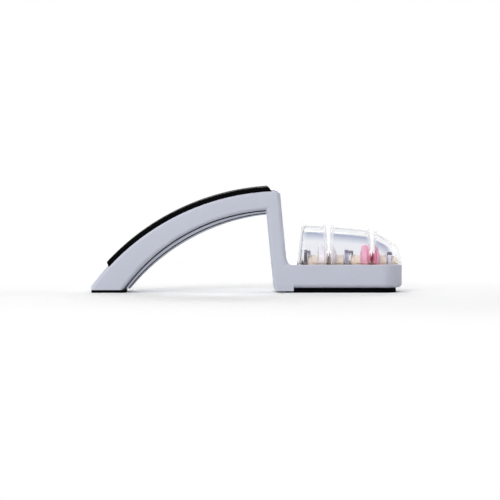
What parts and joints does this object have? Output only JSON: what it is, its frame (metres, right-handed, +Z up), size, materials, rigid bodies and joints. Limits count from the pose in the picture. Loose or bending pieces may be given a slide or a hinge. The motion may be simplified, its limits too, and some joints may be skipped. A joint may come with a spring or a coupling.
{
  "type": "manual knife sharpener",
  "caption": "Water sharpener for knives: an arched handle and a trough in one moulding, ceramic wheel pairs on an axle, and a clear lift-off lid with knife slots.",
  "frame": {"origin": "centre of the object's box on the floor it stands on", "axes": "+X along the sharpener from the heel to the trough's nose, +Y across it, +Z up"},
  "size_m": [0.225, 0.046, 0.0767],
  "materials": {
    "body_grey": "satin light grey",
    "liner_grey": "satin light grey",
    "screw_steel": "zinc plated",
    "grip_rubber": "fine matte",
    "foot_rubber": "fine matte",
    "lid_clear": "clear polished",
    "plate_grey": "fine matte",
    "keeper_grey": "fine matte",
    "axle_steel": "ground",
    "ring_black": "matte",
    "hub_cream": "satin",
    "coarse_ceramic": "unglazed fine grain",
    "fine_ceramic": "unglazed fine grain"
  },
  "bodies": {
    "body": {"body_shell": "body_grey", "handle_liner": "liner_grey", "liner_screws": "screw_steel", "grip_pad": "grip_rubber", "heel_foot": "foot_rubber", "base_pad": "foot_rubber", "front_bearing_plate": "plate_grey", "middle_bearing_plate": "plate_grey", "rear_bearing_plate": "plate_grey", "front_axle_keeper": "keeper_grey", "middle_axle_keeper": "keeper_grey", "rear_axle_keeper": "keeper_grey", "axle": "axle_steel", "axle_ring": "ring_black", "axle_end_cap": "hub_cream"},
    "lid": {"lid": "lid_clear"},
    "coarse_wheels": {"coarse_hub": "hub_cream", "coarse_left_wheel": "coarse_ceramic", "coarse_right_wheel": "coarse_ceramic", "coarse_hub_cap": "hub_cream"},
    "fine_wheels": {"fine_hub": "hub_cream", "fine_left_wheel": "fine_ceramic", "fine_right_wheel": "fine_ceramic", "fine_hub_cap": "hub_cream"}
  },
  "joints": [
    {"name": "lid_lift", "type": "slide", "parent": "body", "child": "lid", "axis": [0, 0, 1], "range_m": [0, 0.06]},
    {"name": "coarse_spin", "type": "hinge", "parent": "body", "child": "coarse_wheels", "pos_m": [0.0594, 0, 0.0201], "axis": [1, 0, 0], "continuous": true},
    {"name": "fine_spin", "type": "hinge", "parent": "body", "child": "fine_wheels", "pos_m": [0.0907, 0, 0.0201], "axis": [1, 0, 0], "continuous": true}
  ]
}
